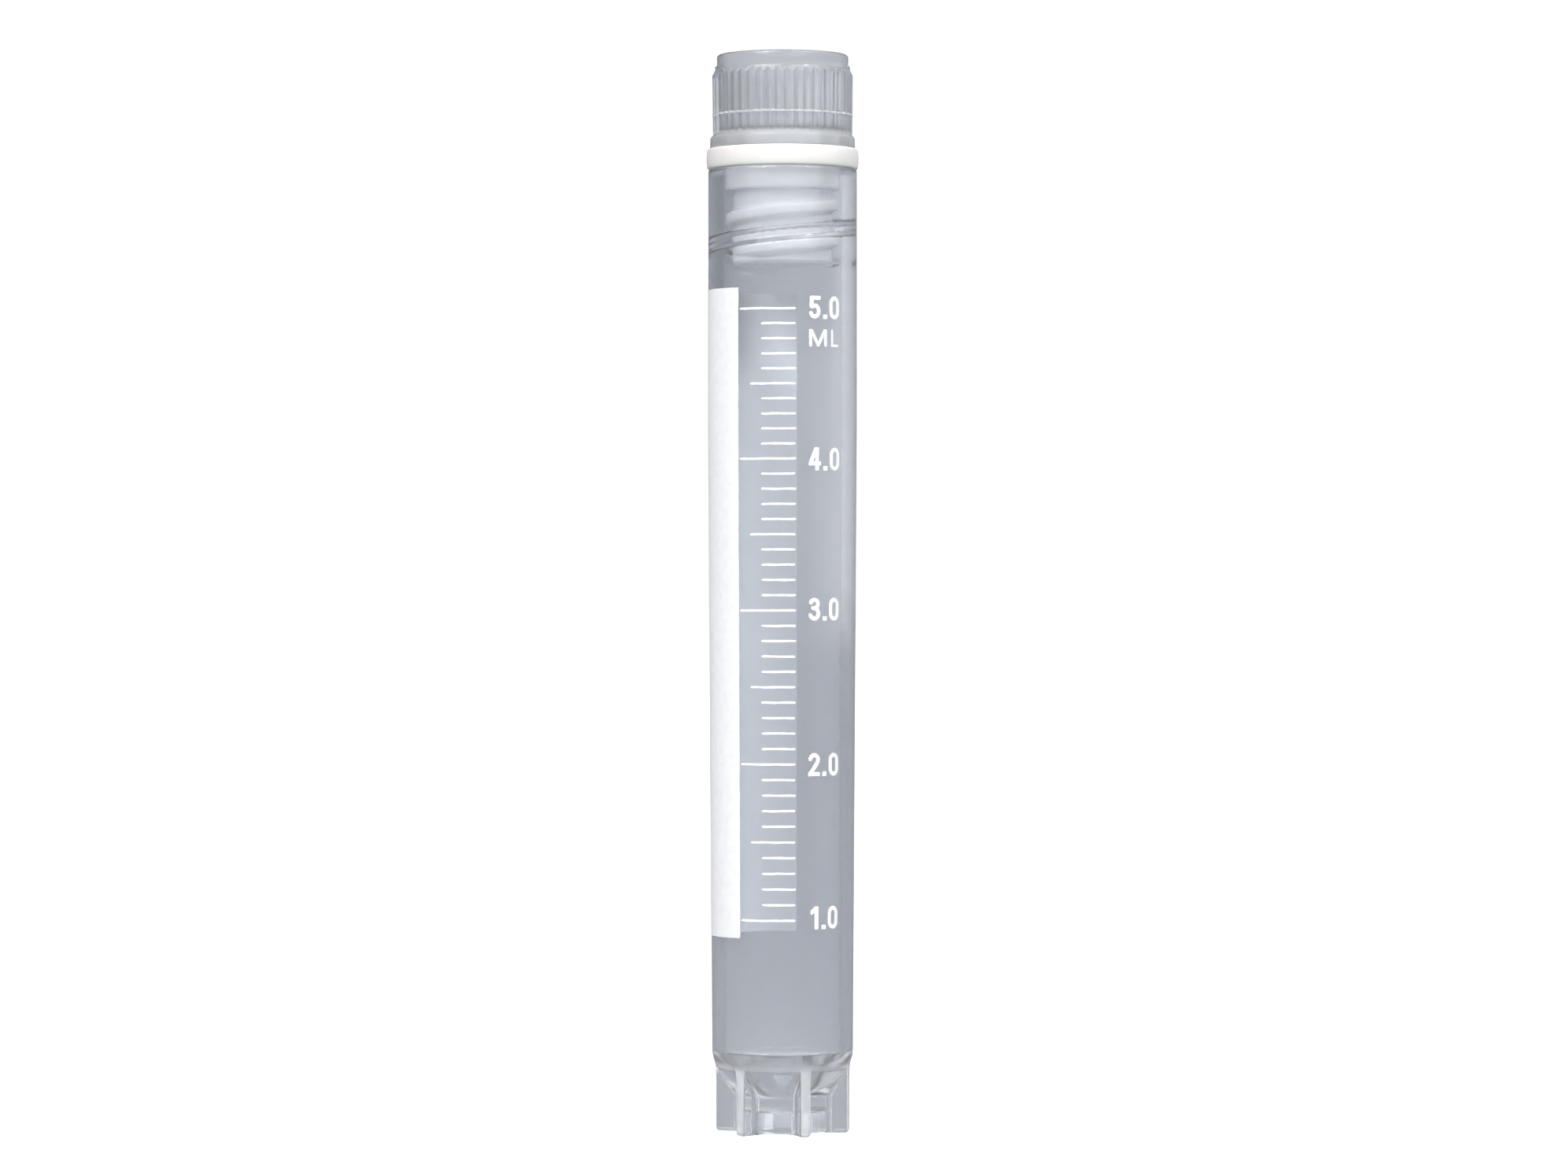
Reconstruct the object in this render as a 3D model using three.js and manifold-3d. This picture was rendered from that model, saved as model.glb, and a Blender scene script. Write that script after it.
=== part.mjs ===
// A self-standing 5 ml cryogenic vial: a moulded tube with an internal thread and a six-ribbed foot,
// a plug-type screw cap, a sealing washer and a printed writing panel.
// Millimetres, +Z up. Origin: centre of the foot, on the plane that the ribs stand on.
// Azimuths are in degrees from the front (-Y), counter-clockwise as seen from above.

import * as THREE from 'three';
import { mergeVertices } from 'three/addons/utils/BufferGeometryUtils.js';
import Module from 'manifold-3d';

const wasm = await Module();
wasm.setup();

const SIDES = 60; // facets round every turned surface
const MERGE_DISTANCE = 1e-4;
const PAST = 1; // how far a cutter reaches past the face that it opens

// Tube body
const RIM_HEIGHT = 80.95;
const BODY_RADIUS = 6.25;
const TAPER_TOP = 59.5; // straight above this height, tapering towards the foot below it
const SHOULDER_TOP = 6.8;
const SHOULDER_RADIUS = 5.92;
const RIM_CHAMFER = 0.2;

// Bore
const BORE_MOUTH_RADIUS = 5.05;
const BORE_FOOT_RADIUS = 4.9;
const BORE_FOOT_HEIGHT = 7.5; // the bore rounds over into its conical bottom below this height
const BORE_ROUND_RADIUS = 4.7;
const BORE_ROUND_HEIGHT = 6.7;
const BORE_CONE_RADIUS = 4.2;
const BORE_CONE_HEIGHT = 6.1;
const CAVITY_FLOOR = 3.6;
const CAVITY_FLOOR_RADIUS = 0.95;

// Foot
const RIB_COUNT = 6;
const FIRST_RIB_AZIMUTH = 20.5;
const RIB_THICKNESS = 0.95;
const RIB_RADIUS = 5.65;
const RIB_CORNER = 0.4;
const RIB_TOP = 5.6;
const HUB_RADIUS = 3.95;
const HUB_WALL = 0.95;
const HUB_BOTTOM = 0.15; // the hub stops just short of the ribs' feet
const HUB_TOP = 3.2;
const HUB_ROOF = 2.0; // underside of the tube's bottom, inside the hub

// Thread: right-hand, one start. Heights are those of a ridge's centre line at the front.
const LEAD = 3.0;
const TUBE_RIDGE = {
  height: 75.33, from: -325, to: 200, fade: 45,
  wall: BORE_MOUTH_RADIUS, crest: 4.42, buried: 0.25, baseHalf: 0.68, crestHalf: 0.2,
};
const PLUG_RIDGE = {
  height: 77.3, from: -430, to: 120, fade: 45,
  wall: 4.2, crest: 4.8, buried: -0.3, baseHalf: 0.78, crestHalf: 0.32,
};

// Cap
const CAP_TOP = 90.6;
const CAP_RIM_RADIUS = 5.53;
const CAP_RIM_BOTTOM = 89.6;
const CAP_RIM_ROUND = 0.25;
const BARREL_TOP = 88.85;
const BARREL_TOP_RADIUS = 5.92;
const BARREL_BOTTOM = 83.85;
const BARREL_BOTTOM_RADIUS = 5.86;
const KNURL_COUNT = 45;
const KNURL_DEPTH = 0.18;
const FLANGE_RADIUS = 6.1;
const FLANGE_BOTTOM = 82.7;
const FLANGE_EDGE_TOP = 83.3;
const FLANGE_CHAMFER = 0.15;
const NECK_RADIUS = 4.85;
const NECK_BOTTOM = 79.1;
const NECK_ROUND = 0.25;
const PLUG_BOTTOM = 72.9;
const PLUG_FLOOR = 74.1;
const PLUG_BORE_RADIUS = 3.2;
const RECESS_FLOOR = 84.2;
const RECESS_RADIUS = 5.0;

// Washer: free of the rim below and the flange above by the same small gap
const WASHER_GAP = 0.02;
const WASHER_BORE_RADIUS = 4.95;
const WASHER_FACE_RADIUS = 6.2;
const WASHER_SOFT_RADIUS = 6.36;
const WASHER_BULGE_RADIUS = 6.4;

// Writing panel: an ink film that follows the tube's wall
const PANEL_FROM = -193;
const PANEL_TO = -36;
const PANEL_BOTTOM = 16.6;
const PANEL_TOP = 70.8;
const INK_GAP = 0.03;
const INK_THICKNESS = 0.07;

const POLYPROPYLENE = { color: 0xb9bdc6, roughness: 0.35, metalness: 0 };
const CAP_POLYPROPYLENE = { color: 0xbfc3ca, roughness: 0.35, metalness: 0 };
const SILICONE = { color: 0xf6f5f0, roughness: 0.6, metalness: 0 };
const INK = { color: 0xffffff, roughness: 0.7, metalness: 0 };

/** The angle about +Z, from +X, of an azimuth. */
function turn(azimuth) {
  return THREE.MathUtils.degToRad(azimuth - 90);
}

/** A closed geometry as a solid that can be joined and cut. */
function solid(geometry) {
  geometry.deleteAttribute('normal');
  geometry.deleteAttribute('uv');
  const merged = mergeVertices(geometry, MERGE_DISTANCE);
  const corners = merged.index.array;
  const kept = [];
  for (let i = 0; i < corners.length; i += 3) {
    const [a, b, c] = corners.slice(i, i + 3);
    if (a !== b && b !== c && c !== a) kept.push(a, b, c);
  }
  return new wasm.Manifold(new wasm.Mesh({
    numProp: 3,
    vertProperties: merged.attributes.position.array,
    triVerts: new Uint32Array(kept),
  }));
}

/** A solid as a named mesh. */
function piece(name, body, finish) {
  const { vertProperties, triVerts } = body.getMesh();
  const geometry = new THREE.BufferGeometry();
  geometry.setAttribute('position', new THREE.BufferAttribute(vertProperties, 3));
  geometry.setIndex(new THREE.BufferAttribute(triVerts, 1));
  geometry.computeVertexNormals();
  const mesh = new THREE.Mesh(geometry, new THREE.MeshStandardMaterial(finish));
  mesh.name = name;
  return mesh;
}

/** A profile of [radius, height] points, listed upwards along its outside, turned about +Z. */
function turned(profile) {
  const points = profile.map(([radius, height]) => new THREE.Vector2(radius, height));
  return solid(new THREE.LatheGeometry(points, SIDES).rotateX(Math.PI / 2));
}

/**
 * A flat bar bent round the axis. Its length becomes the sweep from one azimuth to another, its
 * thickness runs from the inner to the outer skin, and skin(along, outer, up) gives the radius and
 * height of a point: along is 0 to 1, outer says which skin, and up is -1 at the bottom, 1 at the top.
 */
function bentBar(from, to, levels, skin) {
  const steps = Math.ceil((to - from) * SIDES / 360);
  const bar = new THREE.BoxGeometry(1, 2, 1, steps, levels, 1);
  const corner = bar.attributes.position;
  for (let i = 0; i < corner.count; i++) {
    const along = corner.getX(i) + 0.5;
    const [radius, height] = skin(along, corner.getZ(i) > 0, corner.getY(i));
    const angle = turn(from + along * (to - from));
    corner.setXYZ(i, radius * Math.cos(angle), radius * Math.sin(angle), height);
  }
  return solid(bar);
}

/** A helical thread ridge that sinks into its wall at both ends. */
function threadRidge({ height, from, to, fade, wall, crest, buried, baseHalf, crestHalf }) {
  const root = wall + buried;
  const crestIsOuter = crest > wall;
  return bentBar(from, to, 1, (along, outer, up) => {
    const azimuth = from + along * (to - from);
    const centre = height + LEAD * azimuth / 360;
    const rise = THREE.MathUtils.smoothstep(Math.min(azimuth - from, to - azimuth), 0, fade);
    if (outer !== crestIsOuter) return [root, centre + up * baseHalf];
    const sunk = wall + buried / 3;
    return [THREE.MathUtils.lerp(sunk, crest, rise), centre + up * crestHalf];
  });
}

/** One rib of the foot: a plate in the plane of the axis, standing at an azimuth. */
function footRib(azimuth) {
  const inner = HUB_RADIUS - HUB_WALL / 2;
  const outline = new THREE.Shape();
  outline.moveTo(inner, 0);
  outline.lineTo(RIB_RADIUS - RIB_CORNER, 0);
  outline.absarc(RIB_RADIUS - RIB_CORNER, RIB_CORNER, RIB_CORNER, -Math.PI / 2, 0, false);
  outline.lineTo(RIB_RADIUS, RIB_TOP);
  outline.lineTo(RIB_RADIUS - HUB_WALL, RIB_TOP);
  outline.lineTo(inner, HUB_TOP);
  const plate = new THREE.ExtrudeGeometry(outline, {
    depth: RIB_THICKNESS, bevelEnabled: false, curveSegments: 4,
  });
  plate.translate(0, 0, -RIB_THICKNESS / 2);
  plate.rotateX(Math.PI / 2);
  plate.rotateZ(turn(azimuth));
  return solid(plate);
}

function tube() {
  let body = turned([
    [0, HUB_BOTTOM],
    [HUB_RADIUS, HUB_BOTTOM],
    [HUB_RADIUS, HUB_TOP],
    [RIB_RADIUS, RIB_TOP],
    [SHOULDER_RADIUS, SHOULDER_TOP],
    [BODY_RADIUS, TAPER_TOP],
    [BODY_RADIUS, RIM_HEIGHT - RIM_CHAMFER],
    [BODY_RADIUS - RIM_CHAMFER, RIM_HEIGHT],
    [0, RIM_HEIGHT],
  ]);
  for (let i = 0; i < RIB_COUNT; i++) {
    body = body.add(footRib(FIRST_RIB_AZIMUTH + i * 360 / RIB_COUNT));
  }
  const bore = turned([
    [0, CAVITY_FLOOR],
    [CAVITY_FLOOR_RADIUS, CAVITY_FLOOR],
    [BORE_CONE_RADIUS, BORE_CONE_HEIGHT],
    [BORE_ROUND_RADIUS, BORE_ROUND_HEIGHT],
    [BORE_FOOT_RADIUS, BORE_FOOT_HEIGHT],
    [BORE_MOUTH_RADIUS, TAPER_TOP],
    [BORE_MOUTH_RADIUS, RIM_HEIGHT + PAST],
    [0, RIM_HEIGHT + PAST],
  ]);
  const hubHollow = turned([
    [0, HUB_BOTTOM - PAST],
    [HUB_RADIUS - HUB_WALL, HUB_BOTTOM - PAST],
    [HUB_RADIUS - HUB_WALL, HUB_ROOF],
    [0, HUB_ROOF],
  ]);
  return body.subtract(bore).subtract(hubHollow).add(threadRidge(TUBE_RIDGE));
}

/** The grip ridges of the cap, trimmed to the barrel's draft and top chamfer. */
function knurl() {
  const outline = new THREE.Shape();
  for (let i = 0; i < KNURL_COUNT * 2; i++) {
    const angle = i * Math.PI / KNURL_COUNT;
    const radius = i % 2 ? BARREL_TOP_RADIUS - KNURL_DEPTH : BARREL_TOP_RADIUS;
    const point = [radius * Math.cos(angle), radius * Math.sin(angle)];
    if (i) outline.lineTo(...point);
    else outline.moveTo(...point);
  }
  const column = new THREE.ExtrudeGeometry(outline, {
    depth: CAP_RIM_BOTTOM - BARREL_BOTTOM, bevelEnabled: false,
  });
  column.translate(0, 0, BARREL_BOTTOM);
  const envelope = turned([
    [0, BARREL_BOTTOM - PAST],
    [BARREL_BOTTOM_RADIUS, BARREL_BOTTOM - PAST],
    [BARREL_BOTTOM_RADIUS, BARREL_BOTTOM],
    [BARREL_TOP_RADIUS, BARREL_TOP],
    [CAP_RIM_RADIUS, CAP_RIM_BOTTOM],
    [0, CAP_RIM_BOTTOM],
  ]);
  return solid(column).intersect(envelope);
}

function screwCap() {
  const core = BARREL_BOTTOM_RADIUS - KNURL_DEPTH;
  const outside = turned([
    [0, PLUG_BOTTOM],
    [PLUG_RIDGE.wall - NECK_ROUND, PLUG_BOTTOM],
    [PLUG_RIDGE.wall, PLUG_BOTTOM + NECK_ROUND],
    [PLUG_RIDGE.wall, NECK_BOTTOM],
    [NECK_RADIUS - NECK_ROUND, NECK_BOTTOM],
    [NECK_RADIUS, NECK_BOTTOM + NECK_ROUND],
    [NECK_RADIUS, FLANGE_BOTTOM],
    [FLANGE_RADIUS - FLANGE_CHAMFER, FLANGE_BOTTOM],
    [FLANGE_RADIUS, FLANGE_BOTTOM + FLANGE_CHAMFER],
    [FLANGE_RADIUS, FLANGE_EDGE_TOP],
    [BARREL_BOTTOM_RADIUS, BARREL_BOTTOM],
    [core, BARREL_BOTTOM],
    [core, BARREL_TOP],
    [CAP_RIM_RADIUS, CAP_RIM_BOTTOM],
    [CAP_RIM_RADIUS, CAP_TOP - CAP_RIM_ROUND],
    [CAP_RIM_RADIUS - CAP_RIM_ROUND, CAP_TOP],
    [0, CAP_TOP],
  ]);
  const hollow = turned([
    [0, PLUG_FLOOR],
    [PLUG_BORE_RADIUS - NECK_ROUND, PLUG_FLOOR],
    [PLUG_BORE_RADIUS, PLUG_FLOOR + NECK_ROUND],
    [PLUG_BORE_RADIUS, RECESS_FLOOR],
    [RECESS_RADIUS, RECESS_FLOOR],
    [RECESS_RADIUS, CAP_TOP + PAST],
    [0, CAP_TOP + PAST],
  ]);
  return outside.add(knurl()).add(threadRidge(PLUG_RIDGE)).subtract(hollow);
}

function sealingWasher() {
  const bottom = RIM_HEIGHT + WASHER_GAP;
  const top = FLANGE_BOTTOM - WASHER_GAP;
  const middle = (bottom + top) / 2;
  const shoulder = (top - bottom) / 4;
  return turned([
    [WASHER_BORE_RADIUS, bottom],
    [WASHER_FACE_RADIUS, bottom],
    [WASHER_SOFT_RADIUS, middle - shoulder],
    [WASHER_BULGE_RADIUS, middle],
    [WASHER_SOFT_RADIUS, middle + shoulder],
    [WASHER_FACE_RADIUS, top],
    [WASHER_BORE_RADIUS, top],
    [WASHER_BORE_RADIUS, bottom],
  ]);
}

/** Outside radius of the tube at a height above its shoulder. */
function wallRadius(height) {
  const share = THREE.MathUtils.clamp((height - SHOULDER_TOP) / (TAPER_TOP - SHOULDER_TOP), 0, 1);
  return THREE.MathUtils.lerp(SHOULDER_RADIUS, BODY_RADIUS, share);
}

function writingPanel() {
  const middle = (PANEL_BOTTOM + PANEL_TOP) / 2;
  const half = (PANEL_TOP - PANEL_BOTTOM) / 2;
  return bentBar(PANEL_FROM, PANEL_TO, 5, (along, outer, up) => {
    const height = middle + up * half;
    return [wallRadius(height) + INK_GAP + (outer ? INK_THICKNESS : 0), height];
  });
}

const vial = new THREE.Group();
vial.add(
  piece('tube', tube(), POLYPROPYLENE),
  piece('writing_panel', writingPanel(), INK),
  piece('sealing_washer', sealingWasher(), SILICONE),
  piece('screw_cap', screwCap(), CAP_POLYPROPYLENE),
);

export default vial;
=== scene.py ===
"""A self-standing 5 ml cryogenic vial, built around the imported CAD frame.

Lengths are in millimetres until make_mesh() turns them into metres. Azimuths are in degrees from the
front (-Y), counter-clockwise as seen from above. Round pieces are skins through rings of points: a ring
is three arrays, the radius, azimuth and height of each of its points.
"""

import math

import bmesh
import bpy
import numpy as np
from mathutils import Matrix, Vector, noise


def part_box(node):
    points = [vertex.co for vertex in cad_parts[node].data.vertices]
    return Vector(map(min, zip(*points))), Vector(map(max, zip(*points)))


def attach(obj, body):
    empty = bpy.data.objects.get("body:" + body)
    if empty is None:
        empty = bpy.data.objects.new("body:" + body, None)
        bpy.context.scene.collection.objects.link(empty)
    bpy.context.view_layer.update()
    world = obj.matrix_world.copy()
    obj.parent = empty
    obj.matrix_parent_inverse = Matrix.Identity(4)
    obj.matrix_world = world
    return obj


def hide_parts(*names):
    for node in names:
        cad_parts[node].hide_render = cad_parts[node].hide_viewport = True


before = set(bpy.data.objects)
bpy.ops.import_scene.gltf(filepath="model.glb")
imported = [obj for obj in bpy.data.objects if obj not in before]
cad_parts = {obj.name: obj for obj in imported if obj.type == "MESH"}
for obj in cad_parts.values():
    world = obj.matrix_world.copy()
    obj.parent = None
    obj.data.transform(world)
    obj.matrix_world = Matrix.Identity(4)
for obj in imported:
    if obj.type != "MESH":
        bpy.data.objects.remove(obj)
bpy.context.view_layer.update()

MM = 0.001

# ---------------------------------------------------------------- sizes, from the frame where it has them

tube_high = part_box("tube")[1] / MM
cap_low, cap_high = (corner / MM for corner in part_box("screw_cap"))
washer_low, washer_high = (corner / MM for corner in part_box("sealing_washer"))
panel_low, panel_high = (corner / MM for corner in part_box("writing_panel"))

RIM_HEIGHT = tube_high.z
BODY_RADIUS = tube_high.x
TAPER_TOP = 59.5
SHOULDER_TOP = 6.8
SHOULDER_RADIUS = 5.92
BORE_MOUTH_RADIUS = 5.05
BORE_FOOT_RADIUS = 4.9
CAVITY_FLOOR = 3.6

RIB_COUNT = 6
FIRST_RIB_AZIMUTH = 20.5
RIB_HALF = 0.475
RIB_REACH = 5.65
RIB_TOP = 5.6
RIB_CORNER = 0.25
LEAST_CORNER = 0.06
RIB_FILLET = 0.3
RIB_FOOT_ROUND = 0.36
HUB_RADIUS = 3.95
HUB_TOP = 3.2
HUB_BOTTOM = 0.15
HUB_FOOT_ROUND = 0.15
HUB_BORE_RADIUS = 3.0
HUB_ROOF = 2.0

LEAD = 3.0
THREAD_STEP = 0.09  # between rings where a thread ridge runs
TUBE_RIDGE = dict(height=75.33, start=-285, end=215, fade=60, rise=-0.62, base=0.7, crest=0.2)
PLUG_RIDGE = dict(height=77.3, start=-440, end=135, fade=70, rise=0.6, base=0.8, crest=0.3)

CAP_TOP = cap_high.z
PLUG_BOTTOM = cap_low.z
PLUG_RADIUS = 4.2
PLUG_FLOOR = 74.1
PLUG_BORE_RADIUS = 3.2
NECK_RADIUS = 4.85
NECK_BOTTOM = 79.1
FLANGE_BOTTOM = washer_high.z + 0.02
FLANGE_RADIUS = cap_high.x
BARREL_BOTTOM = 83.85
BARREL_BOTTOM_RADIUS = 5.86
BARREL_TOP = 88.85
BARREL_TOP_RADIUS = 5.92
CAP_RIM_BOTTOM = 89.6
CAP_RIM_RADIUS = 5.53
RECESS_FLOOR = 84.2
RECESS_RADIUS = 5.0
KNURL_COUNT = 45
KNURL_DEPTH = 0.18
GRIP_FOOT = 84.0
GRIP_RUN_OUT = ((83.72, 83.8, 83.9, GRIP_FOOT), (5.97, 5.9, 5.76, 5.68))  # heights and least radii
WITNESS_HEIGHT = 85.5  # a faint ring where two parts of the mould met
WITNESS_RELIEF = 0.07
WITNESS_WIDTH = 0.08

WASHER_BORE_RADIUS = 4.95
WASHER_RADIUS = washer_high.x
WASHER_FACE_RADIUS = 6.2
BULGE_STEPS = 12
BULGE_POWER = 0.7  # under 1, so that the bulge is fuller than an ellipse

PANEL_FROM = -193
PANEL_TO = -36
FIRST_MARK_HEIGHT = 18.1  # the 1.0 ml line
MARK_END_AZIMUTH = 10.3
MARK_AZIMUTHS = {"whole": -34.6, "half": -25.6, "tenth": -16.5}
MARK_THICKNESS = 0.19
NUMERAL_AZIMUTH = 20.5
NUMERAL_RISE = {1: 0.22, 2: -0.02, 3: 0.1, 4: -0.02, 5: 0.1}  # above its line's middle
FIRST_NUMERAL_SHIFT = 2.2  # degrees, for the narrow 1
LETTER_DROP = 2.2  # from the foot of the 5.0 to the foot of the letters
LETTER_SPACE = 2  # degrees
INK_GAP = 0.004
INK_THICKNESS = 0.03
DEGREES_PER_MM = 9  # roughly, along the tube's wall


# ---------------------------------------------------------------- mesh helpers


def make_mesh(name, points, faces, body, material, crease=35):
    """A closed skin of points in millimetres as a piece that rides on a CAD body."""
    mesh = bpy.data.meshes.new(name)
    mesh.from_pydata((np.asarray(points, float) * MM).tolist(), [], faces)
    skin = bmesh.new()
    skin.from_mesh(mesh)
    bmesh.ops.remove_doubles(skin, verts=skin.verts, dist=1e-7)
    bmesh.ops.recalc_face_normals(skin, faces=skin.faces)
    skin.to_mesh(mesh)
    skin.free()
    mesh.shade_smooth()
    mesh.set_sharp_from_angle(angle=math.radians(crease))
    mesh.materials.append(material)
    piece = bpy.data.objects.new(name, mesh)
    bpy.context.scene.collection.objects.link(piece)
    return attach(piece, body)


def ring_points(ring):
    radius, azimuth, height = np.broadcast_arrays(*ring)
    angle = np.radians(azimuth)
    return np.column_stack((radius * np.sin(angle), -radius * np.cos(angle), height))


def skin_through(rings, looped=False):
    """Points and faces of a skin through rings of equal size. A skin that isn't looped is closed by a point
    at the middle of its first and last rings."""
    points = np.vstack([ring_points(ring) for ring in rings])
    size = len(points) // len(rings)
    faces = []
    last = len(rings) if looped else len(rings) - 1
    for k in range(last):
        low, high = k * size, (k + 1) % len(rings) * size
        for i in range(size):
            j = (i + 1) % size
            faces.append((low + i, low + j, high + j, high + i))
    if not looped:
        for start in (0, (len(rings) - 1) * size):
            middle = points[start : start + size].mean(0)
            points = np.vstack((points, middle))
            for i in range(size):
                faces.append((start + i, start + (i + 1) % size, len(points) - 1))
    return points, faces


def rounded(corners, steps=5):
    """A profile through (radius, height, fillet) corners, each turned into an arc of its fillet radius."""
    path = [corners[0][:2]]
    for before, (r, z, fillet), after in zip(corners, corners[1:], corners[2:]):
        here = np.array((r, z))
        a = np.array(before[:2]) - here
        b = np.array(after[:2]) - here
        a, b = a / np.linalg.norm(a), b / np.linalg.norm(b)
        half = math.acos(max(-1, min(1, a @ b))) / 2
        if fillet == 0 or abs(half - math.pi / 2) < 1e-3:
            path.append((r, z))
            continue
        centre = here + (a + b) / np.linalg.norm(a + b) * fillet / math.sin(half)
        start = here + a * fillet / math.tan(half) - centre
        end = here + b * fillet / math.tan(half) - centre
        sweep = math.pi - 2 * half
        for k in range(steps + 1):
            t = k / steps
            blend = math.sin((1 - t) * sweep) * start + math.sin(t * sweep) * end
            path.append(tuple(centre + blend / math.sin(sweep)))
    path.append(corners[-1][:2])
    return path


def stepped(path, step):
    """The same path with no stretch longer than step."""
    made = [path[0]]
    for (r0, z0), (r1, z1) in zip(path, path[1:]):
        parts = max(1, math.ceil(math.hypot(r1 - r0, z1 - z0) / step))
        made += [(r0 + (r1 - r0) * k / parts, z0 + (z1 - z0) * k / parts) for k in range(1, parts + 1)]
    return made


def smooth(x):
    x = np.clip(x, 0, 1)
    return x * x * (3 - 2 * x)


def ridge_relief(azimuth, height, ridge):
    """How far a helical thread ridge stands out of its wall at some azimuths and one height. Towards its
    ends the ridge narrows to a point as it sinks into the wall."""
    relief = np.zeros(len(azimuth))
    wrapped = (azimuth + 180) % 360 - 180
    for lap in range(-2, 3):
        total = wrapped + 360 * lap
        ends = smooth(np.minimum(total - ridge["start"], ridge["end"] - total) / ridge["fade"])
        away = np.abs(height - ridge["height"] - LEAD * total / 360)
        base = ridge["base"] * (0.15 + 0.85 * ends)
        crest = ridge["crest"] * ends
        relief = np.maximum(relief, ends * smooth((base - away) / (base - crest)))
    return relief * ridge["rise"]


# ---------------------------------------------------------------- tube

OUTER_STEPS, CORNER_STEPS, SIDE_STEPS, FILLET_STEPS, GAP_STEPS = 3, 4, 6, 4, 5  # round half a sector
FOOT_ROUND_STEPS = 5
ROOT = OUTER_STEPS + CORNER_STEPS + SIDE_STEPS + FILLET_STEPS
HALF_SECTOR = ROOT + GAP_STEPS


def star_half(core, reach, half, corner, fillet):
    """Half a rib and half the gap beside it, as radii and azimuth offsets from the rib's middle."""
    room = min(1, 0.8 * (reach - core) / (corner + fillet))
    corner, fillet = corner * room, fillet * room
    along = []
    for k in range(OUTER_STEPS):
        along.append((reach, (half - corner) * k / OUTER_STEPS))
    for k in range(CORNER_STEPS):
        angle = math.pi / 2 * k / CORNER_STEPS
        along.append((reach - corner + corner * math.cos(angle), half - corner + corner * math.sin(angle)))
    middle = math.sqrt((core + fillet) ** 2 - (half + fillet) ** 2)
    for k in range(SIDE_STEPS):
        along.append((reach - corner + (middle - reach + corner) * k / SIDE_STEPS, half))
    root = math.atan2(half + fillet, middle)
    for k in range(FILLET_STEPS):
        angle = -math.pi / 2 - (math.pi / 2 - root) * k / FILLET_STEPS
        along.append((middle + fillet * math.cos(angle), half + fillet + fillet * math.sin(angle)))
    sector = math.pi / RIB_COUNT
    for k in range(GAP_STEPS + 1):
        angle = root + (sector - root) * k / GAP_STEPS
        along.append((core * math.cos(angle), core * math.sin(angle)))
    out, side = np.array(along).T
    return np.hypot(out, side), np.degrees(np.arctan2(side, out))


def all_round(radius, offset, height):
    """A ring from the values of one half sector, mirrored about each rib and repeated for all of them."""
    turns = np.arange(-HALF_SECTOR, HALF_SECTOR)
    pick = np.abs(turns)
    radius, offset, height = np.broadcast_arrays(radius, offset, height)
    beside = np.sign(turns) * offset[pick]
    azimuths = [FIRST_RIB_AZIMUTH + 360 / RIB_COUNT * rib + beside for rib in range(RIB_COUNT)]
    return np.tile(radius[pick], RIB_COUNT), np.concatenate(azimuths), np.tile(height[pick], RIB_COUNT)


EVEN = np.linspace(0, 180 / RIB_COUNT, HALF_SECTOR + 1)


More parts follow.
